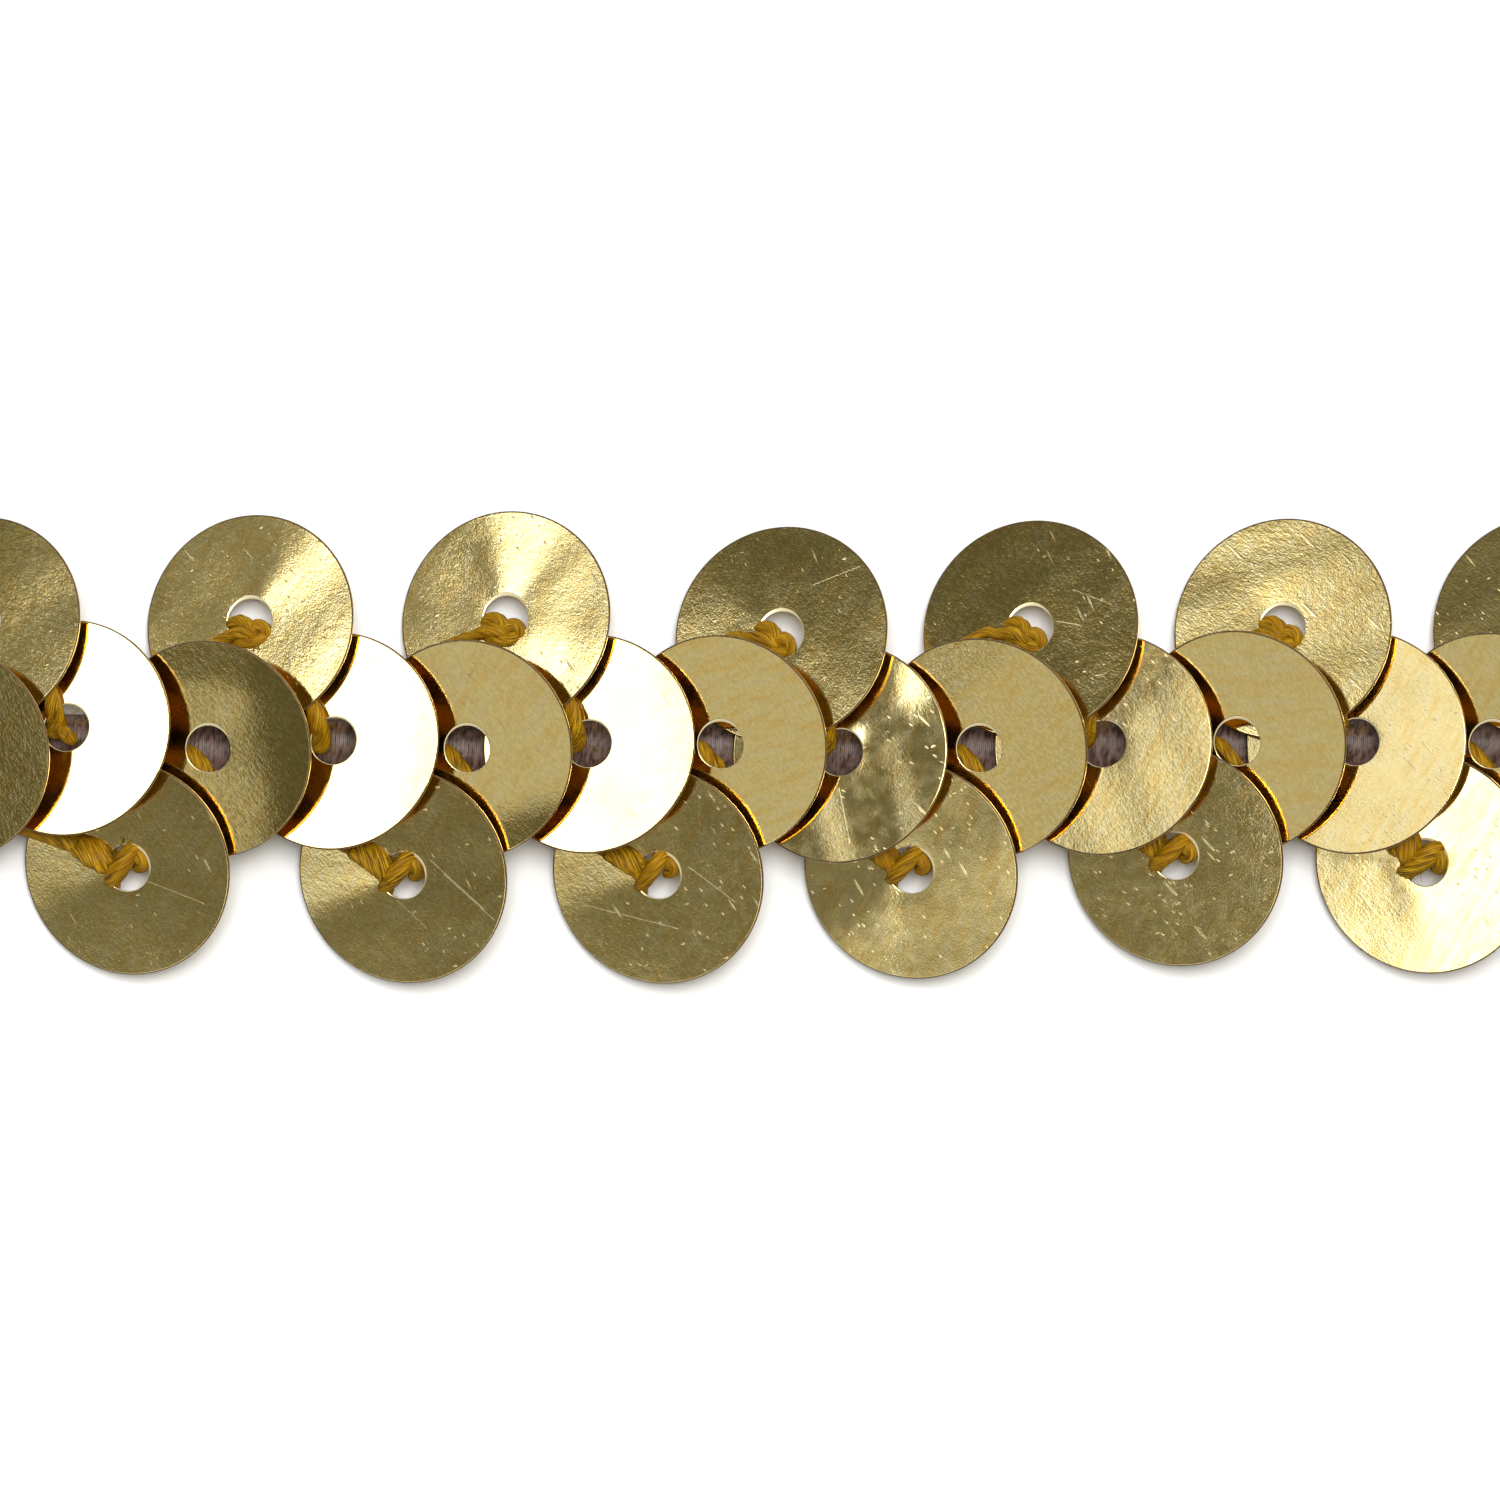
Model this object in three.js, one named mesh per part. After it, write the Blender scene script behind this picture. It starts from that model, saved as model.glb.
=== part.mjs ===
// A cut length of stretch sequin trim, lying flat and straight.
//
// Flat round sequins of metallised gold film are chain stitched on to one
// elastic cord, in a repeat of four that zigzags along it: a middle sequin, an
// upper one, a second middle one and a lower one. Each sequin lies over the
// next, like tiles on a roof, so every right edge is up and every left edge is
// tucked under its neighbour. The cord runs under the middle row.
//
// Millimetres. X runs along the trim, Y across it, Z up. The origin is the
// centre of the underside, on the surface that the trim lies on.
import * as THREE from "three";

// ---- driving dimensions -----------------------------------------------------
const SEQUIN_DIAMETER = 6.2; // punched film, at the middle of the length
const DIAMETER_DRIFT = 0.0062; // the sequins get this much larger per mm along X
const FILM = 0.08; // thickness of the film
const HOLE_DIAMETER = 1.32; // stitching hole at the centre
const RIM_FACETS = 40;
const HOLE_FACETS = 16;

const CORD_WIDTH = 1.4; // elastic cord, pressed a little flat by the stitches
const CORD_HEIGHT = 0.8;
const CORD_SIDES = 10;
const CORD_STEPS = 25;
const CORD_START = -26.9;
const CORD_END = 29.9;
const CORD_LINE = 0.08; // its place across the trim, drawn straight by its own stretch

const MIDDLE = { x: 1.5, y: 0.06 }; // centre of the whole length in the table's frame

const GOLD = { color: 0xc9a94a, roughness: 0.22, metalness: 1.0 };
const MAUVE = { color: 0x6e5550, roughness: 0.85, metalness: 0.0 };

// How each kind of sequin leans: how fast its face rises along X and along Y.
const LEAN = {
  mid_a: { rise_x: 0.3, rise_y: 0.12 }, // over the upper sequin, under the lower one
  upper: { rise_x: 0.31, rise_y: -0.2 }, // droops outward to the surface
  mid_b: { rise_x: 0.28, rise_y: -0.12 }, // under the upper sequin, over the lower one
  lower: { rise_x: 0.31, rise_y: 0.2 }, // droops outward to the surface
};

// Where the stitches hold each sequin: the centre of its hole, and how high.
const SEQUINS = [
  { set: 1, kind: "mid_a", x: -22.44, y: -0.08, z: 2.04 },
  { set: 1, kind: "upper", x: -21.65, y: 3.56, z: 1.24 },
  { set: 1, kind: "mid_b", x: -19.13, y: 0.62, z: 1.94 },
  { set: 1, kind: "lower", x: -17.47, y: -3.31, z: 1.32 },
  { set: 2, kind: "mid_a", x: -15.15, y: 0.03, z: 2.05 },
  { set: 2, kind: "upper", x: -14.02, y: 3.59, z: 1.25 },
  { set: 2, kind: "mid_b", x: -11.65, y: 0.25, z: 1.98 },
  { set: 2, kind: "lower", x: -9.73, y: -3.52, z: 1.44 },
  { set: 3, kind: "mid_a", x: -7.91, y: 0.03, z: 2.06 },
  { set: 3, kind: "upper", x: -6.85, y: 3.67, z: 1.24 },
  { set: 3, kind: "mid_b", x: -4.51, y: 0.17, z: 1.99 },
  { set: 3, kind: "lower", x: -2.58, y: -3.52, z: 1.45 },
  { set: 4, kind: "mid_a", x: -0.82, y: 0.14, z: 2.07 },
  { set: 4, kind: "upper", x: 0.88, y: 3.23, z: 1.52 },
  { set: 4, kind: "mid_b", x: 2.52, y: -0.07, z: 2.01 },
  { set: 4, kind: "lower", x: 4.51, y: -3.37, z: 1.46 },
  { set: 5, kind: "mid_a", x: 6.43, y: 0.03, z: 2.07 },
  { set: 5, kind: "upper", x: 7.87, y: 3.39, z: 1.44 },
  { set: 5, kind: "mid_b", x: 9.89, y: 0.17, z: 2.03 },
  { set: 5, kind: "lower", x: 11.92, y: -2.98, z: 1.57 },
  { set: 6, kind: "mid_a", x: 13.64, y: 0.22, z: 2.08 },
  { set: 6, kind: "upper", x: 14.94, y: 3.4, z: 1.42 },
  { set: 6, kind: "mid_b", x: 16.97, y: 0.22, z: 2 },
  { set: 6, kind: "lower", x: 18.91, y: -3.17, z: 1.51 },
  { set: 7, kind: "mid_a", x: 20.78, y: 0.14, z: 2.09 },
  { set: 7, kind: "upper", x: 22.24, y: 3.5, z: 1.44 },
  { set: 7, kind: "mid_b", x: 24.17, y: 0.2, z: 2.01 },
  { set: 7, kind: "lower", x: 26.13, y: -3.31, z: 1.18 },
];

// ---- shapes -------------------------------------------------------------------
function circlePoints(radius, count, clockwise) {
  const points = [];
  for (let i = 0; i < count; i++) {
    const turn = ((clockwise ? -i : i) / count) * Math.PI * 2;
    points.push(new THREE.Vector2(Math.cos(turn) * radius, Math.sin(turn) * radius));
  }
  return points;
}

// A flat washer of film, its middle plane at z = 0.
function sequinGeometry(diameter) {
  const disc = new THREE.Shape(circlePoints(diameter / 2, RIM_FACETS, false));
  disc.holes.push(new THREE.Path(circlePoints(HOLE_DIAMETER / 2, HOLE_FACETS, true)));
  const geometry = new THREE.ExtrudeGeometry(disc, {
    depth: FILM,
    bevelEnabled: false,
    curveSegments: 1,
  });
  geometry.translate(0, 0, -FILM / 2);
  return geometry;
}

// The cord's section: an oval with a narrow flat below, its underside at z = 0.
// Along a path in the XY plane the section's x is down and its y is across.
function cordSection() {
  const points = [];
  const top = Math.sin((72 * Math.PI) / 180);
  for (let i = 0; i < CORD_SIDES; i++) {
    const turn = (i / CORD_SIDES) * Math.PI * 2;
    const height = (CORD_HEIGHT / 2) * (1 + Math.sin(turn) / top);
    points.push(new THREE.Vector2(-height, (CORD_WIDTH / 2) * Math.cos(turn)));
  }
  return new THREE.Shape(points);
}

function cordPath() {
  return new THREE.LineCurve3(
    new THREE.Vector3(CORD_START, CORD_LINE, 0),
    new THREE.Vector3(CORD_END, CORD_LINE, 0),
  );
}

// ---- the trim -------------------------------------------------------------------
const trim = new THREE.Group();
trim.name = "sequin_trim";

const row = new THREE.Group();
row.position.set(-MIDDLE.x, -MIDDLE.y, 0);
trim.add(row);

const up = new THREE.Vector3(0, 0, 1);
for (const { set, kind, x, y, z } of SEQUINS) {
  const lean = LEAN[kind];
  const sequin = new THREE.Mesh(
    sequinGeometry(SEQUIN_DIAMETER + DIAMETER_DRIFT * x),
    new THREE.MeshStandardMaterial(GOLD),
  );
  sequin.name = `sequin_${set}_${kind}`;
  sequin.position.set(x, y, z);
  const face = new THREE.Vector3(-lean.rise_x, -lean.rise_y, 1).normalize();
  sequin.quaternion.setFromUnitVectors(up, face);
  row.add(sequin);
}

const cord = new THREE.Mesh(
  new THREE.ExtrudeGeometry(cordSection(), {
    steps: CORD_STEPS,
    extrudePath: cordPath(),
    bevelEnabled: false,
    curveSegments: 1,
  }),
  new THREE.MeshStandardMaterial(MAUVE),
);
cord.name = "elastic_cord";
row.add(cord);

export default trim;
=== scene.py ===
import math
import random

import bpy
import numpy as np
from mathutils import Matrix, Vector


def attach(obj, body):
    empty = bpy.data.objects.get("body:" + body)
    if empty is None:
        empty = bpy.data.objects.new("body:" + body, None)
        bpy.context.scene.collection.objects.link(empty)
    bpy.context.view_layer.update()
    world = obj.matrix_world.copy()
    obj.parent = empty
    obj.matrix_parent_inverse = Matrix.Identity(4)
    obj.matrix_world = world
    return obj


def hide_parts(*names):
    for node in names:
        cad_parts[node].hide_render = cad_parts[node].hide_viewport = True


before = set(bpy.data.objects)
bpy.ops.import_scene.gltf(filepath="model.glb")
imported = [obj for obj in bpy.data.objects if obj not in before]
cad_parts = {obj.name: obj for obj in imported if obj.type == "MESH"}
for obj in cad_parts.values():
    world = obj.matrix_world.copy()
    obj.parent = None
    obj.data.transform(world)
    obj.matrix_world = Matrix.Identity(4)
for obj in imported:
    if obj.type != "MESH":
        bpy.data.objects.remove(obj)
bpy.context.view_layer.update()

MM = 0.001

# ---- sizes, in millimetres, as the trim is made ---------------------------------
SEQUIN_DIAMETER = 6.2
DIAMETER_DRIFT = 0.0062
FILM = 0.08
HOLE_DIAMETER = 1.32
CORD_WIDTH, CORD_HEIGHT = 1.4, 0.8
CORD_START, CORD_END = -28.4, 28.4
CORD_LINE = 0.02
CORD_PATH = [  # how far across the trim the stitches draw the cord, along its length
    (-28.4, 0.02), (-23.94, -0.02), (-20.63, 0.26), (-16.65, -0.03), (-13.15, 0.12), (-9.41, -0.03), (-6.01, 0.08), (-2.32, 0.04),
    (1.02, -0.12), (4.93, -0.03), (8.39, 0.08), (12.14, 0.09), (15.47, 0.12), (19.28, 0.06), (22.67, 0.12), (28.4, 0.02),
]
MIDDLE = (1.5, 0.06)
TURNS = 144  # facets round each sequin

LEAN = {
    "mid_a": (0.30, 0.12),
    "upper": (0.31, -0.20),
    "mid_b": (0.28, -0.12),
    "lower": (0.31, 0.20),
}

# Each sequin: where the stitches hold it, how far it leans from its kind's lean,
# the faint creases that run out from its hole (angle, how sharp, how wide), and straight
# folds across it (which way, how far from the hole, how sharp, how wide).
SEQUINS = [
    dict(set=1, kind="mid_a", at=(-22.44, -0.08, 2.04), tilt=(0.026, 0.0), look=dict(hammer=2.2, rough=0.07)),
    dict(set=1, kind="upper", at=(-21.65, 3.56, 1.24), tilt=(0.0, 0.004), creases=[(70, -0.027, 14), (110, 0.027, 14)], look=dict(hammer=1.4)),
    dict(set=1, kind="mid_b", at=(-19.13, 0.62, 1.94), look=dict(hammer=0.3, marks=0.2, grey=0.1, orange=0.1)),
    dict(set=1, kind="lower", at=(-17.47, -3.31, 1.32), tilt=(0.0, -0.006), creases=[(140, -0.028, 7), (205, 0.028, 9)],
         look=dict(hairs=[(-3.0, 0.55, -0.7, -0.05, 0.022, 0.9), (0.6, -0.35, 2.3, -0.95, 0.02, 0.8)])),
    dict(set=2, kind="mid_a", at=(-15.15, 0.03, 2.05), folds=[(5, 1.7, 0.07, 0.40), (85, 1.75, 0.05, 0.12)], look=dict(hammer=2.2, rough=0.05)),
    dict(set=2, kind="upper", at=(-14.02, 3.59, 1.25), tilt=(0.002, 0.019), creases=[(66, -0.052, 11), (-85, 0.042, 16)]),
    dict(set=2, kind="mid_b", at=(-11.65, 0.25, 1.98), look=dict(hammer=0.3, marks=0.2, grey=0.1, orange=0.1)),
    dict(set=2, kind="lower", at=(-9.73, -3.52, 1.44), tilt=(0.0, -0.005), creases=[(138, -0.038, 8), (205, 0.038, 9)],
         look=dict(marks=0.9, hairs=[(0.8, 0.5, 2.4, -0.9, 0.02, 0.7), (1.2, 0.1, 2.7, -1.2, 0.016, 0.6), (-0.2, -0.7, 0.7, -1.5, 0.014, 0.5)])),
    dict(set=3, kind="mid_a", at=(-7.91, 0.03, 2.06), folds=[(-78, 1.85, 0.055, 0.32)], look=dict(hairs=[(1.6, -1.5, 2.7, -1.15, 0.018, 0.8)])),
    dict(set=3, kind="upper", at=(-6.85, 3.67, 1.24), tilt=(0.010, 0.025), creases=[(97, -0.066, 11), (-80, 0.042, 16), (54, 0.010, 6), (36, -0.010, 6)]),
    dict(set=3, kind="mid_b", at=(-4.51, 0.17, 1.99), tilt=(0.009, 0.0), look=dict(hammer=0.3, marks=0.2, grey=0.1, orange=0.1)),
    dict(set=3, kind="lower", at=(-2.58, -3.52, 1.45), tilt=(0.0, -0.003), creases=[(150, -0.03, 7), (200, 0.03, 8)],
         look=dict(hairs=[(-2.2, -0.9, 0.6, -1.5, 0.018, 0.6), (0.9, 0.3, 2.3, -0.7, 0.018, 0.6)])),
    dict(set=4, kind="mid_a", at=(-0.82, 0.14, 2.07), look=dict(orange=0.5, grey=0.4, streak_turn=20)),
    dict(set=4, kind="upper", at=(0.88, 3.23, 1.52), tilt=(0.0, -0.009), creases=[(142, -0.03, 9), (100, 0.03, 9)],
         look=dict(hammer=1.4, hairs=[(0.9, 1.4, 2.3, 1.9, 0.016, 0.7)])),
    dict(set=4, kind="mid_b", at=(2.52, -0.07, 2.01), tilt=(-0.009, 0.0), creases=[(22, -0.034, 9), (62, 0.034, 9)],
         look=dict(hammer=0.5, rough=0.055, marks=0.55, hairs=[(0.0, -1.0, 0.35, -2.6, 0.016, 0.5)])),
    dict(set=4, kind="lower", at=(4.51, -3.37, 1.46), tilt=(0.0, 0.012), creases=[(165, 0.03, 9), (215, -0.03, 9)], look=dict(orange=0.45, hammer=0.5)),
    dict(set=5, kind="mid_a", at=(6.43, 0.03, 2.07), folds=[(130, 1.35, 0.058, 0.35)], look=dict(hammer=1.5, orange=0.45, grey=0.4, streak_turn=38)),
    dict(set=5, kind="upper", at=(7.87, 3.39, 1.44), tilt=(0.0, -0.022), creases=[(120, 0.012, 12), (45, -0.012, 12)],
         look=dict(hammer=1.7, hairs=[(0.75, 0.2, 1.5, 0.05, 0.02, 0.9), (1.2, 1.1, 2.4, 0.6, 0.014, 0.6)])),
    dict(set=5, kind="mid_b", at=(9.89, 0.17, 2.03), tilt=(-0.005, 0.0), creases=[(40, -0.02, 10), (75, 0.02, 10)], look=dict(hammer=1.1, orange=0.5)),
    dict(set=5, kind="lower", at=(11.92, -2.98, 1.57), tilt=(0.018, -0.006), look=dict(marks=1.0)),
    dict(set=6, kind="mid_a", at=(13.64, 0.22, 2.08), look=dict(streak_turn=4, orange=0.35, grey=0.4)),
    dict(set=6, kind="upper", at=(14.94, 3.4, 1.42), tilt=(0.0, 0.010), creases=[(75, -0.014, 14), (130, 0.014, 14)], look=dict(hammer=1.3)),
    dict(set=6, kind="mid_b", at=(16.97, 0.22, 2.0), look=dict(hammer=0.7, orange=0.45)),
    dict(set=6, kind="lower", at=(18.91, -3.17, 1.51), creases=[(152, -0.030, 6), (178, 0.030, 3)], look=dict(hammer=0.35, marks=0.4)),
    dict(set=7, kind="mid_a", at=(20.78, 0.14, 2.09), look=dict(orange=0.4, grey=0.35)),
    dict(set=7, kind="upper", at=(22.24, 3.5, 1.44), tilt=(0.0, -0.014)),
    dict(set=7, kind="mid_b", at=(24.17, 0.2, 2.01)),
    dict(set=7, kind="lower", at=(26.13, -3.31, 1.18)),
]

# ---- camera, straight above as in the photograph ----------------------------------
camera = bpy.data.cameras.new("camera")
camera.sensor_width = 36.0
camera.lens = 299.9
camera.clip_start, camera.clip_end = 0.02, 20.0
camera_object = bpy.data.objects.new("camera", camera)
bpy.context.scene.collection.objects.link(camera_object)
camera_object.location = (-1.5 * MM, -0.06 * MM, 351.8 * MM)
camera_object.rotation_euler = (0.0, 0.0, 0.0)
bpy.context.scene.camera = camera_object


# ---- node helpers -------------------------------------------------------------------
class Nodes:
    """Short ways of adding nodes to one material."""

    def __init__(self, name):
        self.material = bpy.data.materials.new(name)
        self.material.use_nodes = True
        self.tree = self.material.node_tree
        self.tree.nodes.clear()
        self.output = self.tree.nodes.new("ShaderNodeOutputMaterial")

    def link(self, source, target):
        if isinstance(source, (int, float)):
            target.default_value = source
        elif isinstance(source, (tuple, list)):
            target.default_value = tuple(source) + (1.0,) * (len(target.default_value) - len(source))
        else:
            self.tree.links.new(source, target)

    def node(self, kind, **inputs):
        made = self.tree.nodes.new("ShaderNode" + kind)
        for name, value in inputs.items():
            self.link(value, made.inputs[name])
        return made

    def math(self, operation, a, b=0.0, c=0.0, clamp=False):
        made = self.tree.nodes.new("ShaderNodeMath")
        made.operation, made.use_clamp = operation, clamp
        for value, socket in zip((a, b, c), made.inputs):
            self.link(value, socket)
        return made.outputs[0]

    def vector(self, operation, a, b=None, scale=None):
        made = self.tree.nodes.new("ShaderNodeVectorMath")
        made.operation = operation
        self.link(a, made.inputs[0])
        if b is not None:
            self.link(b, made.inputs[1])
        if scale is not None:
            self.link(scale, made.inputs["Scale"])
        return made.outputs["Value"] if operation in ("DOT_PRODUCT", "LENGTH", "DISTANCE") else made.outputs[0]

    def ramp(self, value, low, high, to_low=0.0, to_high=1.0, smooth=True):
        made = self.tree.nodes.new("ShaderNodeMapRange")
        made.interpolation_type = "SMOOTHSTEP" if smooth else "LINEAR"
        made.clamp = True
        for name, v in (("Value", value), ("From Min", low), ("From Max", high), ("To Min", to_low), ("To Max", to_high)):
            self.link(v, made.inputs[name])
        return made.outputs[0]

    def mix(self, factor, a, b):
        made = self.tree.nodes.new("ShaderNodeMix")
        made.data_type = "RGBA"
        self.link(factor, made.inputs[0])
        self.link(a, made.inputs[6])
        self.link(b, made.inputs[7])
        return made.outputs[2]

    def attribute(self, name):
        made = self.tree.nodes.new("ShaderNodeAttribute")
        made.attribute_name = name
        return made

    def noise(self, vector, scale, detail=2.0, rough=0.5, warp=0.0):
        made = self.node("TexNoise", Vector=vector, Scale=scale, Detail=detail, Roughness=rough, Distortion=warp)
        return made.outputs[0]

    def voronoi(self, vector, scale, random_=1.0):
        made = self.node("TexVoronoi", Vector=vector, Scale=scale, Randomness=random_)
        return made.outputs["Distance"]

    def mapped(self, vector, turn=0.0, scale=(1, 1, 1), move=(0, 0, 0)):
        turned = self.node("VectorRotate", Vector=vector, Angle=math.radians(turn)).outputs[0] if turn else vector
        moved = self.vector("ADD", turned, move)
        return self.vector("MULTIPLY", moved, scale)

    def streaks(self, vector, turn, length, width, reach, seed):
        """Thin short streaks, each an ellipse in a cell of length by width, running at the given angle."""
        place = self.mapped(vector, -turn, (1.0 / length, 1.0 / width, 1.0), (seed * 3.7, seed * 1.9, 0))
        return self.ramp(self.voronoi(place, 1.0), reach, reach * 0.35)

    def bump(self, height, distance, normal=None, strength=1.0):
        made = self.node("Bump", Height=height, Strength=strength, Distance=distance)
        if normal is not None:
            self.link(normal, made.inputs["Normal"])
        return made.outputs[0]

    def surface(self, **inputs):
        shader = self.tree.nodes.new("ShaderNodeBsdfPrincipled")
        for name, value in inputs.items():
            self.link(value, shader.inputs[name.replace("_", " ")])
        self.tree.links.new(shader.outputs[0], self.output.inputs[0])
        return shader


# ---- materials ------------------------------------------------------------------------
def film_material(name, look, seed):
    """Metallised gold film: mirror-like, faintly hammered, scratched and flecked by handling."""
    n = Nodes(name)
    rng = random.Random(seed)
    film = n.attribute("film").outputs["Vector"]
    at = n.vector("ADD", film, (seed * 7.31, seed * 3.17, seed * 1.3))
    cloud = n.noise(at, 0.55, 2.0)
    fine = n.noise(at, look.get("grain", 19.0), 2.0, 0.6)
    middle = n.noise(at, 5.0, 1.0, 0.5)
    coarse = n.noise(at, 2.2, 1.0, 0.5)

    turn = look.get("scratch_turn", rng.uniform(-60, -35))
    grit = n.noise(n.mapped(at, -turn, (6.0, 12.0, 1.0)), 1.0, 2.0, 0.6)
    flecks = n.streaks(at, turn, 0.50, 0.17, 0.17, seed)
    crossed = n.streaks(at, turn + 62, 0.9, 0.42, 0.10, seed + 5)
    scuffs = n.streaks(at, turn - 9, 2.6, 0.34, 0.13, seed + 9)
    patchy = n.ramp(cloud, 0.38, 0.56)
    marks = n.math("MAXIMUM", n.math("MAXIMUM", flecks, crossed), scuffs)
    marks = n.math("MULTIPLY", n.math("MULTIPLY", marks, patchy), look.get("marks", 0.8))
    for x1, y1, x2, y2, wide, much in look.get("hairs", ()):
        length = math.hypot(x2 - x1, y2 - y1)
        along = ((x2 - x1) / length, (y2 - y1) / length, 0.0)
        place = n.vector("SUBTRACT", film, (x1, y1, 0.0))
        run = n.vector("DOT_PRODUCT", place, along)
        off = n.math("ABSOLUTE", n.vector("DOT_PRODUCT", place, (-along[1], along[0], 0.0)))
        line = n.ramp(off, wide, wide * 0.4)
        inside = n.math("MULTIPLY", n.ramp(run, -0.03, 0.08), n.ramp(run, length + 0.03, length - 0.2))
        marks = n.math("MAXIMUM", marks, n.math("MULTIPLY", n.math("MULTIPLY", line, inside), much))

    streak_turn = look.get("streak_turn", 60)
    rubbed = n.noise(n.mapped(at, -streak_turn, (0.9, 4.2, 1.0)), 1.0, 3.0, 0.65)
    orange = n.ramp(rubbed, 0.51, 0.62, 0.0, look.get("orange", 0.4))
    grey = n.ramp(rubbed, 0.48, 0.37, 0.0, look.get("grey", 0.4))

    tint = n.mix(cloud, (0.93, 0.735, 0.27), (0.96, 0.775, 0.33))
    tint = n.mix(orange, tint, (0.93, 0.58, 0.14))
    tint = n.mix(grey, tint, (0.92, 0.80, 0.44))
    tint = n.mix(n.ramp(fine, 0.36, 0.64, 0.22, 0.0), tint, (0.62, 0.45, 0.12))
    tint = n.mix(n.ramp(grit, 0.40, 0.62, 0.26 * min(look.get("hammer", 1.0), 1.8), 0.0), tint, (0.60, 0.43, 0.11))
    tint = n.mix(n.math("MULTIPLY", marks, 0.7), tint, (0.96, 0.83, 0.46))

    # the punched lip of the hole is duller than the rolled film; its paler cream colour and lower metallic are a
    # painted highlight, the bright crescent round the hole
    lip = n.ramp(n.node("SeparateXYZ", Vector=film).outputs["Z"], 0.0012, 0.006)
    tint = n.mix(lip, tint, (1.0, 0.89, 0.56))
    rough = n.ramp(coarse, 0.3, 0.7, look.get("rough", 0.065), look.get("rough", 0.065) + 0.025)
    rough = n.math("ADD", rough, n.math("MULTIPLY", marks, 0.28))

    rough = n.math("MULTIPLY_ADD", lip, 0.26, rough)

    hammer = look.get("hammer", 1.0)
    height = n.math("MULTIPLY", fine, 0.8 * hammer)
    height = n.math("MULTIPLY_ADD", grit, 1.0 * hammer, height)
    height = n.math("MULTIPLY_ADD", middle, 0.5 * hammer, height)
    height = n.math("MULTIPLY_ADD", coarse, 0.8 * hammer, height)
    height = n.math("MULTIPLY_ADD", marks, 1.6, height)
    normal = n.bump(height, 1.0e-6)
    # the lip's metallic is lowered so its pale colour takes the overhead light: part of the painted highlight
    n.surface(Base_Color=tint, Metallic=n.math("MULTIPLY_ADD", lip, -0.5, 1.0), Roughness=rough, Normal=normal)
    return n.material


def back_material():
    """The film's back, where the brown lacquer over the metal shows."""
    n = Nodes("film_back")
    at = n.attribute("film").outputs["Vector"]
    cloud = n.noise(at, 1.4, 2.0)
    colour = n.mix(cloud, (0.43, 0.275, 0.052), (0.60, 0.41, 0.10))
    n.surface(
        Base_Color=colour,
        Metallic=1.0,
        Roughness=n.ramp(n.noise(at, 3.0), 0.3, 0.7, 0.12, 0.2),
        Normal=n.bump(n.noise(at, 7.0), 1.5e-6),
    )
    return n.material


def cut_material():
    """The film's cut edge, where its brown base shows."""
    n = Nodes("film_cut_edge")
    at = n.attribute("film").outputs["Vector"]
    colour = n.mix(n.noise(at, 9.0), (0.030, 0.013, 0.004), (0.11, 0.055, 0.014))
    n.surface(Base_Color=colour, Roughness=n.ramp(n.noise(at, 12.0), 0.3, 0.7, 0.3, 0.5), Metallic=0.0)
    return n.material


def wall_material():
    """The punched wall of the film, where the gold has been drawn down over its base."""
    n = Nodes("film_wall")
    at = n.attribute("film").outputs["Vector"]
    colour = n.mix(n.noise(at, 6.0), (0.50, 0.31, 0.07), (0.85, 0.65, 0.28))
    n.surface(Base_Color=colour, Roughness=n.ramp(n.noise(at, 12.0), 0.3, 0.7, 0.3, 0.45), Metallic=0.85)
    return n.material


def thread_material():
    """Mustard rayon: fine glossy fibres that run along the strand, with painted shade between them and painted
    highlights along them.
    """
    n = Nodes("sewing_thread")
    at = n.attribute("strand").outputs["Vector"]
    fibre = n.noise(n.vector("MULTIPLY", at, (1.0, 1.0, 1.0)), 6.5, 3.0, 0.65)
    broad = n.noise(at, 1.3, 2.0)
    # fibre tone, with painted shade between the fibres at its dark end
    colour = n.mix(n.ramp(fibre, 0.36, 0.66), (0.085, 0.034, 0.0006), (0.50, 0.275, 0.006))
    # painted highlight: the brightest fibres mixed towards pale yellow
    colour = n.mix(n.ramp(fibre, 0.60, 0.85, 0.0, 0.8), colour, (0.88, 0.60, 0.07))
    colour = n.mix(n.ramp(broad, 0.42, 0.72, 0.0, 0.6), colour, (0.34, 0.145, 0.002))
    shader = n.surface(
        Base_Color=colour,
        Roughness=n.ramp(fibre, 0.3, 0.7, 0.5, 0.38),
        Normal=n.bump(fibre, 3.6e-5),
    )
    shader.inputs["Specular IOR Level"].default_value = 0.12
    return n.material


def cord_material():
    n = Nodes("elastic_wrapping")
    at = n.attribute("film").outputs["Vector"]
    strand = n.noise(n.mapped(at, 12, (9.0, 3.2, 3.2)), 1.0, 2.0)
    worn = n.noise(at, 2.4, 2.0)
    colour = n.mix(n.ramp(strand, 0.34, 0.66), (0.050, 0.024, 0.016), (0.175, 0.103, 0.080))
    colour = n.mix(n.ramp(worn, 0.50, 0.68, 0.0, 0.5), colour, (0.22, 0.15, 0.13))
    shader = n.surface(Base_Color=colour, Roughness=n.ramp(strand, 0.3, 0.7, 0.34, 0.5), Normal=n.bump(strand, 8.0e-6))
    shader.inputs["Sheen Weight"].default_value = 0.1
    return n.material


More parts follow.
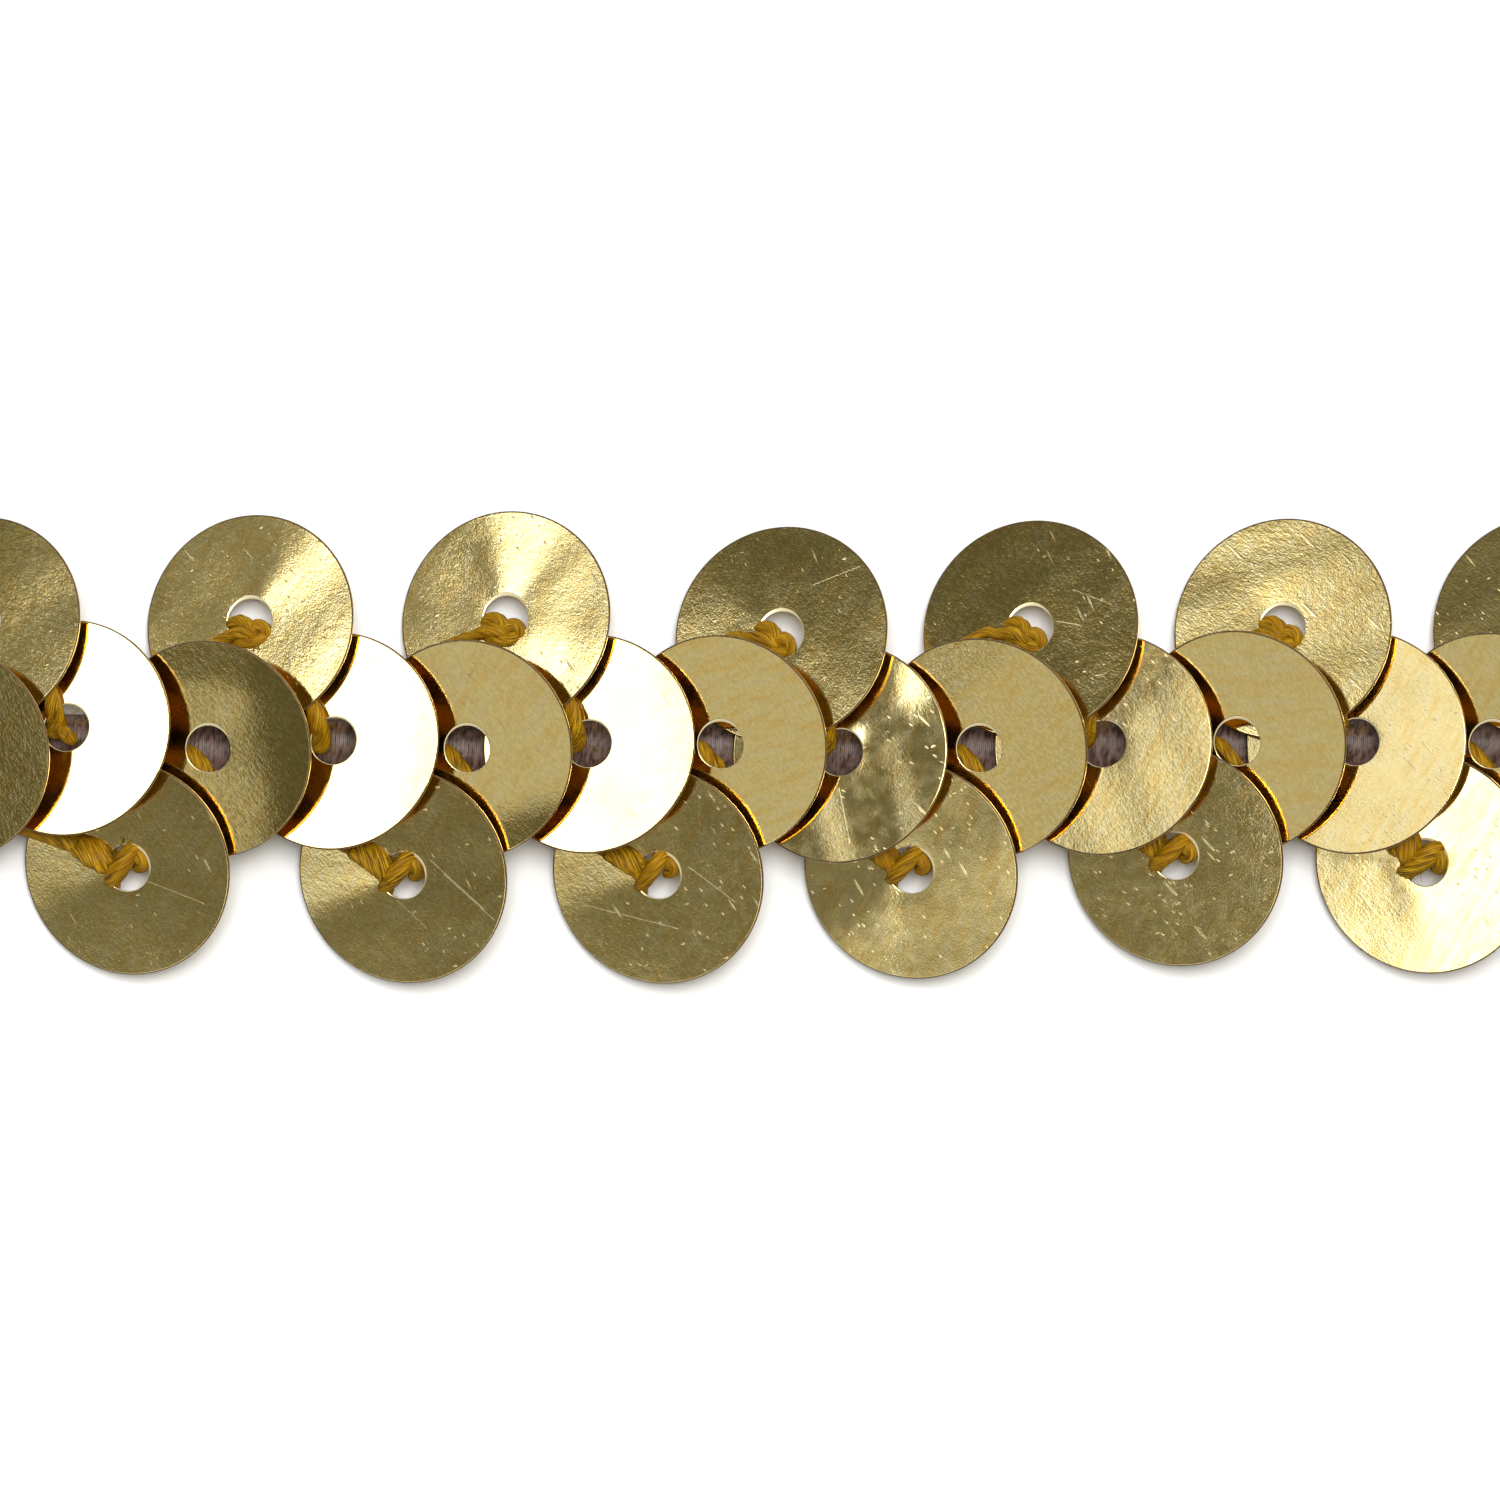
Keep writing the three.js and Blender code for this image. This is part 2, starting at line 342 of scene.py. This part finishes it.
# ---- sequins ------------------------------------------------------------------------
def crease_field(creases):
    """Height over radius, and its slope round the hole, for creases that run out from the hole.

    A surface bent only along lines through the hole stays developable, as a film does.
    """
    count = 720
    theta = np.arange(count) / count * 2 * np.pi
    bend = np.zeros(count)
    for angle, jump, width in creases:
        away = (theta - math.radians(angle) + np.pi) % (2 * np.pi) - np.pi
        sigma = math.radians(width)
        bend += jump * np.exp(-0.5 * (away / sigma) ** 2) / (sigma * math.sqrt(2 * math.pi))
    wave = np.fft.rfft(bend)
    order = np.arange(len(wave))
    wave[1] = 0.0
    scale = np.where(order == 1, 1.0, 1.0 - order.astype(float) ** 2)
    return theta, np.fft.irfft(wave / scale, count)


FACE, CUT, BACK, WALL = 0, 1, 2, 3
LIP_TOP = 8  # the loop where the flat face turns down into the hole


def sequin_profile(radius, hole):
    """Loops from the underside of the hole, up over its lip, across the face and round the rim.

    Each has a radius, a depth below the face, how much of the lip's extra width it takes, and
    what the band of film after it shows: its face, its cut edge or its back.
    """
    t = FILM
    loops = [
        (hole + 0.30, t, 0, BACK), (hole + 0.08, t, 0, BACK), (hole + 0.012, t - 0.003, 0, CUT), (hole, t - 0.016, 0, CUT),
        (hole, 0.028, 0.0, FACE), (hole + 0.003, 0.017, 0.35, FACE), (hole + 0.007, 0.009, 0.75, FACE),
        (hole + 0.013, 0.003, 1.0, FACE), (hole + 0.020, 0.0, 1.0, FACE), (hole + 0.06, 0.0, 1.0, FACE),
    ]
    inner, outer = hole + 0.24, radius - 0.09
    loops += [(inner + (outer - inner) * share, 0.0, 0, FACE) for share in (0, 0.05, 0.13, 0.22, 0.32, 0.43, 0.54, 0.65, 0.75, 0.84, 0.92, 1.0)]
    loops += [
        (radius - 0.050, 0.0, 0, FACE), (radius - 0.036, 0.0, 0, FACE), (radius - 0.030, 0.0012, 0, CUT), (radius - 0.012, 0.012, 0, CUT),
        (radius, 0.030, 0, WALL), (radius, t - 0.014, 0, CUT), (radius - 0.014, t - 0.004, 0, BACK), (radius - 0.05, t, 0, BACK), (radius - 0.12, t, 0, BACK),
    ]
    inner, outer = hole + 0.30, radius - 0.12
    loops += [(inner + (outer - inner) * share, t, 0, BACK) for share in (0.85, 0.65, 0.45, 0.25)]
    return loops


# the side of its hole where the punch has left each kind's lip wide: angle and extra width
LIP = {"mid_a": (80, 0.080), "upper": (95, 0.095), "mid_b": (55, 0.03), "lower": (52, 0.085)}


def make_sequin(row, index, cut, back, wall):
    x, y, z = row["at"]
    kind = row["kind"]
    name = f"sequin_{row['set']}_{kind}"
    radius = (SEQUIN_DIAMETER + DIAMETER_DRIFT * x) / 2
    hole = HOLE_DIAMETER / 2
    lean = LEAN[kind]
    more = row.get("tilt", (0.0, 0.0))
    rng = random.Random(100 + index)
    face = Vector((-lean[0] - more[0], -lean[1] - more[1], 1.0)).normalized()
    turn = np.array(Vector((0, 0, 1)).rotation_difference(face).to_matrix())
    centre = np.array((x - MIDDLE[0], y - MIDDLE[1], z))

    theta0, field = crease_field(row.get("creases", []))
    loops = sequin_profile(radius, hole)
    theta = np.arange(TURNS) / TURNS * 2 * np.pi
    f = np.interp(theta, np.append(theta0, 2 * np.pi), np.append(field, field[0]))
    waves = [(rng.uniform(0.9, 2.2), rng.uniform(0, math.pi), rng.uniform(0, 6.28), rng.uniform(0.5, 1.0)) for _ in range(5)]
    curl, curl_turn = row.get("curl", (0.0, 0.0))
    curl_turn = math.radians(curl_turn)

    lip_turn, lip_width = LIP[kind]
    lip_away = (theta - math.radians(lip_turn) + np.pi) % (2 * np.pi) - np.pi
    lip = lip_width * np.exp(-0.5 * (lip_away / 0.62) ** 2)

    points, films = [], []
    for base_r, depth, share, _ in loops:
        r = base_r + lip * share
        u, v = r * np.cos(theta), r * np.sin(theta)
        lift = r * f
        lift = lift + curl * (u * math.cos(curl_turn) + v * math.sin(curl_turn)) ** 2 / radius ** 2
        for way, reach, jump, width in row.get("folds", ()):
            way = math.radians(way)
            past = (u * math.cos(way) + v * math.sin(way) - reach) / width
            lift = lift + jump * width * np.logaddexp(0.0, past)
        for size, way, phase, much in waves:
            lift = lift + 0.0010 * much * row.get("wave", 1.0) * np.sin((u * math.cos(way) + v * math.sin(way)) * 2 * math.pi / size / 1.6 + phase)
        # the punch draws the film down a little round the hole
        lift = lift - 0.0012 * np.exp(-((r - hole) / 0.12) ** 2)
        local = np.stack([u, v, FILM / 2 - depth + lift], axis=1)
        points.append(local @ turn.T + centre)
        films.append(np.stack([u, v, np.full_like(u, depth)], axis=1))
    points = np.concatenate(points) * MM
    films = np.concatenate(films)

    faces, slots = [], []
    rows = len(loops)
    for j in range(rows):
        k = (j + 1) % rows
        for i in range(TURNS):
            m = (i + 1) % TURNS
            faces.append((j * TURNS + i, k * TURNS + i, k * TURNS + m, j * TURNS + m))
            slots.append(loops[j][3])
    mesh = bpy.data.meshes.new(name + "_film")
    mesh.from_pydata(points.tolist(), [], faces)
    mesh.update()
    mesh.attributes.new("film", "FLOAT_VECTOR", "POINT").data.foreach_set("vector", films.astype(np.float32).ravel())
    look = dict({"marks": 0.25} if kind == "mid_a" else {}, **row.get("look", {}))
    mesh.materials.append(film_material(f"gold_film_{index + 1}", look, index + 1))
    mesh.materials.append(cut)
    mesh.materials.append(back)
    mesh.materials.append(wall)
    mesh.polygons.foreach_set("material_index", slots)
    mesh.polygons.foreach_set("use_smooth", [True] * len(faces))
    ends = np.empty(len(mesh.edges) * 2, dtype=np.int64)
    mesh.edges.foreach_get("vertices", ends)
    loop = ends.reshape(-1, 2) // TURNS
    crisp = [LIP_TOP, next(j for j in range(1, rows) if loops[j - 1][3] == FACE and loops[j][3] == CUT)]
    if kind == "mid_b":
        crisp.pop()
    mesh.attributes.new("sharp_edge", "BOOLEAN", "EDGE").data.foreach_set("value", (loop[:, 0] == loop[:, 1]) & np.isin(loop[:, 0], crisp))
    mesh.update()
    piece = bpy.data.objects.new(name + "_film", mesh)
    bpy.context.scene.collection.objects.link(piece)
    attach(piece, "root")
    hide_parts(name)
    return piece


cut, back, wall = cut_material(), back_material(), wall_material()
for i, row in enumerate(SEQUINS):
    make_sequin(row, i, cut, back, wall)


# ---- elastic cord -------------------------------------------------------------------
def cord_middle(x):
    for (x1, y1), (x2, y2) in zip(CORD_PATH, CORD_PATH[1:]):
        if x <= x2:
            share = (x - x1) / (x2 - x1)
            return y1 + (y2 - y1) * (0.5 - 0.5 * math.cos(math.pi * share))
    return CORD_PATH[-1][1]


def make_cord():
    rib = 0.11
    steps = int((CORD_END - CORD_START) / rib * 4)
    sides = 22
    points, films = [], []
    for s in range(steps + 1):
        x = CORD_START + (CORD_END - CORD_START) * s / steps
        mid = cord_middle(x)
        for i in range(sides):
            a = i / sides * 2 * math.pi
            ring = 0.5 + 0.5 * math.cos(2 * math.pi * (x / rib + a / (2 * math.pi)))
            grow = -0.028 * (1 - ring ** 0.6)
            half_w, half_h = CORD_WIDTH / 2 + grow, CORD_HEIGHT / 2 + grow
            py = mid + half_w * math.cos(a)
            pz = CORD_HEIGHT / 2 + half_h * math.sin(a)
            points.append((x * MM, py * MM, max(pz, 0.0) * MM))
            films.append((x, py, pz))
    faces = []
    for s in range(steps):
        for i in range(sides):
            j = (i + 1) % sides
            faces.append((s * sides + i, (s + 1) * sides + i, (s + 1) * sides + j, s * sides + j))
    faces.append(tuple(range(sides)))
    faces.append(tuple(steps * sides + i for i in reversed(range(sides))))
    mesh = bpy.data.meshes.new("cord_wrapped")
    mesh.from_pydata(points, [], faces)
    mesh.update()
    mesh.attributes.new("film", "FLOAT_VECTOR", "POINT").data.foreach_set("vector", np.array(films, dtype=np.float32).ravel())
    mesh.materials.append(cord_material())
    mesh.polygons.foreach_set("use_smooth", [True] * (len(faces) - 2) + [False] * 2)
    mesh.update()
    piece = bpy.data.objects.new("cord_wrapped", mesh)
    bpy.context.scene.collection.objects.link(piece)
    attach(piece, "root")
    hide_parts("elastic_cord")


make_cord()


# ---- sewing thread --------------------------------------------------------------------
# Each strand is a list of stops (u, v, lift, width, height) in millimetres from the centre
# of a sequin's hole, the lift measured from that sequin's leaning face.
UPPER_LEFT_LOOP = [(-0.44, -0.34, -0.26, 0.34, 0.32), (-0.47, -0.13, -0.04, 0.37, 0.34), (-0.25, -0.06, 0.05, 0.40, 0.36), (-0.04, -0.18, 0.07, 0.38, 0.34), (0.03, -0.40, 0.0, 0.29, 0.28), (0.05, -0.60, -0.20, 0.22, 0.22)]
UPPER_RIGHT_LOOP = [(0.0, -0.60, -0.22, 0.20, 0.20), (0.02, -0.42, 0.02, 0.29, 0.28), (0.14, -0.20, 0.06, 0.37, 0.34), (0.34, -0.19, 0.03, 0.37, 0.34), (0.47, -0.36, -0.05, 0.35, 0.32), (0.40, -0.56, -0.20, 0.32, 0.30)]
UPPER_CROSSING = [(-0.52, -0.62, -0.02, 0.26, 0.24), (-0.22, -0.62, 0.08, 0.32, 0.28), (0.12, -0.60, 0.06, 0.32, 0.28), (0.36, -0.46, -0.02, 0.30, 0.28), (0.44, -0.30, -0.22, 0.24, 0.24)]
UPPER_TAIL = [(0.12, -0.50, -0.12, 0.20, 0.20), (0.0, -0.42, 0.12, 0.30, 0.28), (-0.24, -0.36, 0.19, 0.38, 0.32), (-0.52, -0.44, 0.18, 0.33, 0.28), (-0.82, -0.57, 0.13, 0.27, 0.23), (-1.20, -0.74, 0.14, 0.25, 0.23)]
LOWER_KNOB = [(0.34, 0.36, -0.40, 0.34, 0.34), (0.22, 0.47, -0.12, 0.44, 0.36), (0.06, 0.33, 0.06, 0.54, 0.42), (-0.13, 0.10, 0.12, 0.60, 0.45), (-0.33, -0.13, 0.06, 0.56, 0.42), (-0.48, -0.32, -0.14, 0.42, 0.36), (-0.46, -0.36, -0.52, 0.32, 0.32)]
LOWER_RIGHT_LOOP = [(0.05, 0.45, -0.28, 0.34, 0.34), (0.30, 0.34, -0.13, 0.40, 0.36), (0.47, 0.14, -0.13, 0.38, 0.34), (0.40, 0.0, -0.26, 0.34, 0.32), (0.20, -0.02, -0.42, 0.30, 0.30)]
LOWER_ARRIVAL = [(-1.60, 0.92, 0.26, 0.50, 0.30), (-1.18, 0.68, 0.26, 0.66, 0.34), (-0.80, 0.44, 0.24, 0.72, 0.38), (-0.52, 0.20, 0.14, 0.64, 0.40), (-0.42, -0.02, -0.12, 0.48, 0.38), (-0.36, -0.12, -0.45, 0.32, 0.32)]
MIDDLE_ARRIVAL = [(-0.52, 1.02, 0.22, 0.40, 0.30), (-0.42, 0.58, 0.16, 0.48, 0.32), (-0.36, 0.26, -0.06, 0.52, 0.34), (-0.38, 0.0, -0.30, 0.52, 0.34), (-0.58, -0.22, -0.50, 0.40, 0.32)]

# How each visible knot differs: turn in degrees, how far it is pushed along u and v, and its swell.
KNOTS = {
    (2, "upper"): (0, 0.0, 0.06, 1.14), (3, "upper"): (-6, -0.02, 0.03, 1.14), (4, "upper"): (-24, -0.04, 0.11, 1.117),
    (5, "upper"): (-22, -0.02, 0.1, 1.14), (6, "upper"): (-14, 0.02, 0.14, 1.186), (1, "upper"): (-8, 0.0, 0.06, 1.14), (7, "upper"): (-12, 0.0, 0.06, 1.14),
    (1, "lower"): (6, 0.0, 0.02, 1.208), (2, "lower"): (0, -0.02, 0.02, 1.186), (3, "lower"): (4, -0.02, 0.06, 1.049),
    (4, "lower"): (-2, -0.05, 0.04, 1.094), (5, "lower"): (-6, -0.04, 0.0, 1.14), (6, "lower"): (-14, 0.04, -0.02, 1.345), (7, "lower"): (0, 0.0, 0.0, 1.14),
    (1, "mid_b"): (0, 0.06, 0.0, 1.12), (2, "mid_b"): (4, 0.0, 0.0, 1.176), (3, "mid_b"): (0, 0.0, 0.06, 1.064),
    (4, "mid_b"): (-4, -0.02, 0.16, 1.064), (5, "mid_b"): (-2, -0.06, 0.16, 1.008), (6, "mid_b"): (0, -0.08, 0.26, 0.952), (7, "mid_b"): (0, 0.0, 0.1, 1.008),
    (1, "mid_a"): (0, 0.0, 0.06, 1.1), (2, "mid_a"): (0, 0.04, 0.1, 0.99), (3, "mid_a"): (0, 0.0, 0.06, 1.188), (4, "mid_a"): (0, 0.0, 0.08, 1.188),
    (5, "mid_a"): (0, 0.08, 0.12, 0.902), (6, "mid_a"): (0, 0.1, 0.18, 0.77), (7, "mid_a"): (0, 0.0, 0.06, 1.1),
}


class Thread:
    """Collects twisted strands and loose fibres into one mesh."""

    SIDES = 22

    def __init__(self, name):
        self.name = name
        self.points, self.strands, self.faces = [], [], []

    @staticmethod
    def run(stops, step):
        """A smooth path through the stops, as rows of place, width and height."""
        stops = np.array(stops, dtype=float)
        padded = np.vstack([2 * stops[0] - stops[1], stops, 2 * stops[-1] - stops[-2]])
        rows = []
        for a, b, c, d in zip(padded, padded[1:], padded[2:], padded[3:]):
            count = max(2, int(math.ceil(np.linalg.norm(c[:3] - b[:3]) / step)))
            for k in range(count):
                t = k / count
                rows.append(0.5 * (2 * b + (c - a) * t + (2 * a - 5 * b + 4 * c - d) * t * t + (3 * b - a - 3 * c + d) * t ** 3))
        rows.append(stops[-1])
        return np.array(rows)

    def strand(self, stops, seed, twist=2.2, plies=4, step=0.075, sides=None, rough=0.09, groove=0.09):
        sides = sides or self.SIDES
        rng = random.Random(seed)
        rows = self.run(stops, step)
        count = len(rows)
        along = np.gradient(rows[:, :3], axis=0)
        along /= np.linalg.norm(along, axis=1)[:, None]
        length = np.concatenate([[0], np.cumsum(np.linalg.norm(np.diff(rows[:, :3], axis=0), axis=1))])
        up = np.array((0.0, 0.0, 1.0)) if abs(along[0][2]) < 0.9 else np.array((0.0, 1.0, 0.0))
        column = np.arange(sides) / sides * 2 * math.pi
        ply = 1 - groove * (1 - np.abs(np.cos(column * plies / 2)) ** 0.7)
        fibres = ply * np.array([1 + rng.uniform(-rough, rough) for _ in range(sides)])
        first = len(self.points)
        for i in range(count):
            up = up - along[i] * np.dot(up, along[i])
            up /= np.linalg.norm(up)
            side = np.cross(up, along[i])
            end = min(i, count - 1 - i)
            close = (0.45, 0.80, 0.95)[end] if end < 3 else 1.0
            angle = column + twist * length[i]
            out_w = rows[i, 3] / 2 * close * fibres * (1 + 0.05 * math.sin(length[i] * 5 + seed))
            out_h = rows[i, 4] / 2 * close * fibres
            ring = rows[i, :3] + np.outer(np.cos(angle) * out_w, side) + np.outer(np.sin(angle) * out_h, up)
            ring[:, 2] = np.maximum(ring[:, 2], 0.012)
            self.points.extend(ring.tolist())
            self.strands.extend([(length[i] * 0.35 + seed * 3.1, math.cos(c) * 1.1, math.sin(c) * 1.1) for c in column])
        for i in range(count - 1):
            for k in range(sides):
                m = (k + 1) % sides
                a, b = first + i * sides, first + (i + 1) * sides
                self.faces.append((a + k, b + k, b + m, a + m))
        self.faces.append(tuple(first + k for k in range(sides)))
        last = first + (count - 1) * sides
        self.faces.append(tuple(last + k for k in reversed(range(sides))))

    def fuzz(self, centre, spread, count, seed, middle, half):
        """Loose fibre ends that stand off a knot, on one side of it."""
        rng = random.Random(seed)
        for _ in range(count):
            turn = math.radians(middle + rng.uniform(-half, half))
            start = np.array(centre) + np.array((math.cos(turn), math.sin(turn), 0)) * spread * rng.uniform(0.3, 0.9)
            way = turn + rng.uniform(-1.0, 1.0)
            reach = rng.uniform(0.14, 0.36)
            bend = rng.uniform(-0.8, 0.8)
            stops = []
            for k in range(4):
                t = k / 3
                stops.append((start[0] + math.cos(way + bend * t) * reach * t, start[1] + math.sin(way + bend * t) * reach * t,
                              start[2] + rng.uniform(0.0, 0.08) + 0.06 * math.sin(t * 3), 0.026 - 0.010 * t, 0.026 - 0.010 * t))
            self.strand(stops, seed + _, twist=0.0, plies=1, step=0.06, sides=5, rough=0.0, groove=0.0)

    def finish(self, material):
        mesh = bpy.data.meshes.new(self.name)
        mesh.from_pydata((np.array(self.points) * MM).tolist(), [], self.faces)
        mesh.update()
        mesh.attributes.new("strand", "FLOAT_VECTOR", "POINT").data.foreach_set("vector", np.array(self.strands, dtype=np.float32).ravel())
        mesh.materials.append(material)
        mesh.polygons.foreach_set("use_smooth", [len(f) == 4 for f in self.faces])
        mesh.update()
        piece = bpy.data.objects.new(self.name, mesh)
        bpy.context.scene.collection.objects.link(piece)
        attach(piece, "root")
        return piece


def placed(row, stops):
    """Stops beside one sequin's hole, put in the part's frame."""
    turn, du, dv, swell = KNOTS[(row["set"], row["kind"])]
    c, s = math.cos(math.radians(turn)), math.sin(math.radians(turn))
    x, y, z = row["at"]
    rise_x, rise_y = LEAN[row["kind"]]
    made = []
    for u, v, lift, width, height in stops:
        u, v = c * u - s * v + du, s * u + c * v + dv
        made.append((x - MIDDLE[0] + u, y - MIDDLE[1] + v, z + rise_x * u + rise_y * v + lift, width * swell, height * swell))
    return made


def beside(row, u, v, z, width=0.30, height=0.28):
    """A stop off one sequin's hole at a height above the surface."""
    return (row["at"][0] - MIDDLE[0] + u, row["at"][1] - MIDDLE[1] + v, z, width, height)


def make_thread():
    material = thread_material()
    side = CORD_WIDTH / 2 + 0.10
    for number in range(1, 8):
        a, t, b, lo = [row for row in SEQUINS if row["set"] == number]
        thread = Thread(f"thread_{number}")
        seed = number * 40
        cord_y = CORD_LINE

        # upper knot: a loop from the cord, one that goes on to the second middle sequin, and a tail back
        x = t["at"][0] - MIDDLE[0]
        rise = [(x + 0.10, cord_y + side, 0.20, 0.30, 0.28), (x + 0.10, cord_y + side + 0.15, 0.50, 0.30, 0.28), (x - 0.15, cord_y + 1.9, 0.62, 0.30, 0.28)]
        thread.strand(rise + placed(t, UPPER_LEFT_LOOP), seed + 1)
        across = [beside(b, -1.25, 1.85, (t["at"][2] + b["at"][2]) / 2 + 0.04, 0.32, 0.26), beside(b, -0.78, 1.42, b["at"][2] - 0.20, 0.34, 0.28)]
        under = placed(t, [(0.50, -0.84, -0.30, 0.30, 0.26)])
        thread.strand(placed(t, UPPER_RIGHT_LOOP) + under + across + placed(b, MIDDLE_ARRIVAL), seed + 2)
        thread.strand(placed(t, UPPER_CROSSING), seed + 3)
        back_x = t["at"][0] - MIDDLE[0] - 4.15
        tail = [(back_x + 1.2, 2.25, 1.22, 0.26, 0.24), (back_x + 0.35, 1.25, 1.12, 0.28, 0.26), (back_x, cord_y + side, 0.72, 0.30, 0.28), (back_x - 0.08, cord_y + side + 0.02, 0.20, 0.28, 0.26)]
        thread.strand(placed(t, UPPER_TAIL) + tail, seed + 4)

        # first middle sequin: up round the cord, across its hole and on to the lower one
        rise = [beside(a, -0.86, cord_y + side - a["at"][1], 0.20), beside(a, -0.88, cord_y + side - a["at"][1] - 0.06, 0.72), beside(a, -0.84, 0.12, 1.02)]
        turn, du, dv, swell = KNOTS[(number, "mid_a")]
        seen = [(-0.60 + du, -0.20 + dv, 1.30), (-0.34 + du, -0.48 + dv, 1.46), (-0.04 + du, -0.86 + dv, 1.50)]
        seen = [beside(a, u, v, z, 0.48 * swell, 0.36 * swell) for u, v, z in seen]
        thread.strand(rise + seen + [beside(a, 0.9, -1.72, 1.44)] + placed(lo, LOWER_ARRIVAL), seed + 5)

        # lower knot
        x = lo["at"][0] - MIDDLE[0]
        home = [(x - 0.55, -1.9, 0.60, 0.30, 0.28), (x - 0.50, cord_y - side - 0.12, 0.48, 0.30, 0.28), (x - 0.50, cord_y - side, 0.20, 0.28, 0.26)]
        thread.strand(placed(lo, LOWER_KNOB) + home, seed + 6, twist=2.0)
        thread.strand(placed(lo, LOWER_RIGHT_LOOP), seed + 7)

        # second middle sequin of the first set: a turn beside its hole, low over the cord
        if number == 1:
            thread.strand(placed(b, [(-0.50, 0.20, -0.55, 0.30, 0.28), (-0.30, 0.0, -0.24, 0.34, 0.30), (-0.02, -0.24, -0.26, 0.36, 0.30), (0.16, -0.42, -0.56, 0.30, 0.28)]), seed + 8)

        for row, spread, count, way, half in ((t, 0.55, 20, 240, 75), (lo, 0.55, 22, 160, 80), (b, 0.34, 14, 180, 180)):
            middle = placed(row, [(0.0, -0.30 if row is t else 0.12, 0.12 if row is not b else -0.05, 0, 0)])[0][:3]
            thread.fuzz(middle, spread, count, seed + 11, way, half)
        thread.finish(material)


make_thread()

# ---- floor and light ------------------------------------------------------------------
floor_nodes = Nodes("pale_floor")
floor_at = floor_nodes.node("TexCoord").outputs["Object"]
floor_nodes.surface(
    Base_Color=floor_nodes.mix(floor_nodes.noise(floor_at, 40.0), (0.90, 0.90, 0.91), (0.92, 0.92, 0.93)),
    Roughness=0.9,
    Specular_IOR_Level=0.1,
)
floor_mesh = bpy.data.meshes.new("floor")
floor_mesh.from_pydata([(-0.7, -0.7, 0), (0.7, -0.7, 0), (0.7, 0.7, 0), (-0.7, 0.7, 0)], [], [(0, 1, 2, 3)])
floor_mesh.materials.append(floor_nodes.material)
floor = bpy.data.objects.new("floor", floor_mesh)
bpy.context.scene.collection.objects.link(floor)

world = bpy.data.worlds.new("studio")
bpy.context.scene.world = world
world.use_nodes = True
tree = world.node_tree
tree.nodes.clear()
out = tree.nodes.new("ShaderNodeOutputWorld")
back_light = tree.nodes.new("ShaderNodeBackground")
where = tree.nodes.new("ShaderNodeTexCoord")
split = tree.nodes.new("ShaderNodeSeparateXYZ")
tree.links.new(where.outputs["Generated"], split.inputs[0])


def world_range(value, low, high, to_low, to_high):
    made = tree.nodes.new("ShaderNodeMapRange")
    made.interpolation_type = "SMOOTHSTEP"
    for name, v in (("From Min", low), ("From Max", high), ("To Min", to_low), ("To Max", to_high)):
        if isinstance(v, float):
            made.inputs[name].default_value = v
        else:
            tree.links.new(v, made.inputs[name])
    tree.links.new(value, made.inputs["Value"])
    return made.outputs[0]


sideways = world_range(split.outputs["X"], -0.25, 0.45, 0.115, 0.55)
strength = world_range(split.outputs["Z"], 0.03, 0.30, 0.95, sideways)
tree.links.new(strength, back_light.inputs["Strength"])
shade = tree.nodes.new("ShaderNodeMix")
shade.data_type = "RGBA"
tree.links.new(world_range(split.outputs["Z"], 0.03, 0.30, 0.0, 1.0), shade.inputs[0])
shade.inputs[6].default_value = (1.0, 1.0, 1.0, 1.0)
shade.inputs[7].default_value = (1.0, 0.98, 0.78, 1.0)
tree.links.new(shade.outputs[2], back_light.inputs["Color"])
tree.links.new(back_light.outputs[0], out.inputs[0])


def panel(name, x, y, width, depth, radiance, z=1000.0, turn=0.0, colour=(1, 1, 1), aim=None):
    """A flat soft light that faces down or at a point; place and size in millimetres."""
    lamp = bpy.data.lights.new(name, "AREA")
    lamp.shape = "RECTANGLE"
    lamp.size, lamp.size_y = width * MM, depth * MM
    lamp.energy = radiance * math.pi * width * depth * MM * MM
    lamp.color = colour
    made = bpy.data.objects.new(name, lamp)
    bpy.context.scene.collection.objects.link(made)
    made.location = (x * MM, y * MM, z * MM)
    if aim is None:
        made.rotation_euler = (0.0, 0.0, math.radians(turn))
    else:
        way = Vector(aim) - Vector((x, y, z))
        made.rotation_euler = way.to_track_quat("-Z", "Y").to_euler()
    return made


COOL = (0.93, 0.97, 1.22)
panel("softbox_left", -720, 292, 160, 246, 3.5, colour=COOL)
panel("softbox_rim", -683, 433, 164, 44, 1.05, z=1004, colour=COOL)
panel("softbox_small", -484, 275, 152, 250, 1.06, colour=COOL)
panel("panel_high", -740, 455, 360, 92, 0.17)
panel("panel_low", -635, -272, 330, 155, 0.45, colour=(1.0, 1.0, 1.08))
panel("band_low", -740, -478, 380, 80, 0.08)
panel("softbox_low", -765, -636, 330, 170, 1.2, colour=COOL)
panel("softbox_low_rim", -765, -532, 330, 36, 0.40)
panel("softbox_end", -576, -465, 120, 130, 2.8, z=1004, colour=COOL)
panel("overhead", 60, 230, 560, 560, 17.0, z=1300, aim=(0, 0, 0))
panel("key", 150, 800, 560, 560, 3.0, z=1040, aim=(0, 0, 0))

bpy.context.scene.view_settings.view_transform = "Standard"
bpy.context.scene.cycles.max_bounces = 8
bpy.context.scene.cycles.diffuse_bounces = 2
bpy.context.scene.cycles.glossy_bounces = 7
bpy.context.scene.cycles.use_denoising = True
